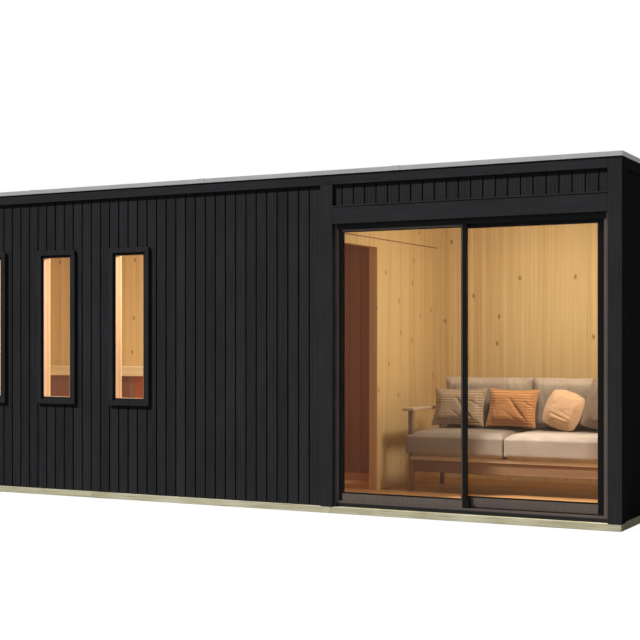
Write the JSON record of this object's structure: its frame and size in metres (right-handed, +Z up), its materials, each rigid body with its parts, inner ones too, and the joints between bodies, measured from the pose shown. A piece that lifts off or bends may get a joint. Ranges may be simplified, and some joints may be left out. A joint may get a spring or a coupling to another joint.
{
  "type": "sauna cabin",
  "caption": "Long flat-roofed timber cabin with a sliding glass door into a lounge, tall narrow fixed windows into a sauna room, a bench and a cushioned sofa.",
  "frame": {"origin": "middle of the roof edge's outline, at ground level", "axes": "+X along the front to the right as seen from outside, +Y from the front into the depth, +Z up"},
  "size_m": [7.086, 2.32, 2.706],
  "materials": {
    "treated_timber": "rough sawn",
    "floor_boards": "satin",
    "inner_timber": "satin",
    "dark_boards": "matte",
    "sofa_timber": "satin",
    "black_timber": "matte stain",
    "roofing_felt": "matte",
    "roof_metal": "satin",
    "black_metal": "matte",
    "bronze_frame": "anodised",
    "glass": "clear",
    "beige_fabric": "woven",
    "ribbed_fabric": "ribbed",
    "orange_fabric": "ribbed",
    "peach_fabric": "soft",
    "grey_fabric": "woven"
  },
  "bodies": {
    "cabin": {"sill_front": "treated_timber", "sill_back": "treated_timber", "sill_ends": "treated_timber", "floor_deck": "floor_boards", "front_wall": "inner_timber", "front_wall_pier": "inner_timber", "front_wall_over_door": "inner_timber", "back_wall": "inner_timber", "left_wall": "inner_timber", "right_wall": "inner_timber", "cladding_front": "black_timber", "cladding_over_door": "black_timber", "cladding_back": "black_timber", "cladding_left": "black_timber", "cladding_right": "black_timber", "corner_posts": "black_timber", "door_post": "black_timber", "door_head_trim": "black_timber", "fascia_front": "black_timber", "fascia_back": "black_timber", "fascia_ends": "black_timber", "ceiling": "inner_timber", "roof_deck": "inner_timber", "roof_membrane": "roofing_felt", "roof_edge_trim": "roof_metal", "window_casings": "black_timber", "window_linings": "inner_timber", "window_glass": "glass", "door_threshold": "black_metal", "door_frame": "bronze_frame", "fixed_panel_frame": "bronze_frame", "fixed_panel_glass": "glass", "partition_wall": "inner_timber", "partition_lintel": "inner_timber", "bench_top": "inner_timber", "bench_front": "dark_boards", "bench_end": "inner_timber", "sofa_frame": "sofa_timber", "seat_cushions": "beige_fabric", "back_cushions": "beige_fabric", "pillow_ribbed": "ribbed_fabric", "pillow_orange": "orange_fabric", "pillow_peach": "peach_fabric", "pillow_grey": "grey_fabric"},
    "sliding_panel": {"sliding_panel_frame": "bronze_frame", "sliding_panel_glass": "glass"}
  },
  "joints": [
    {"name": "door_slide", "type": "slide", "parent": "cabin", "child": "sliding_panel", "axis": [-1, 0, 0], "range_m": [0, 1.024]}
  ]
}
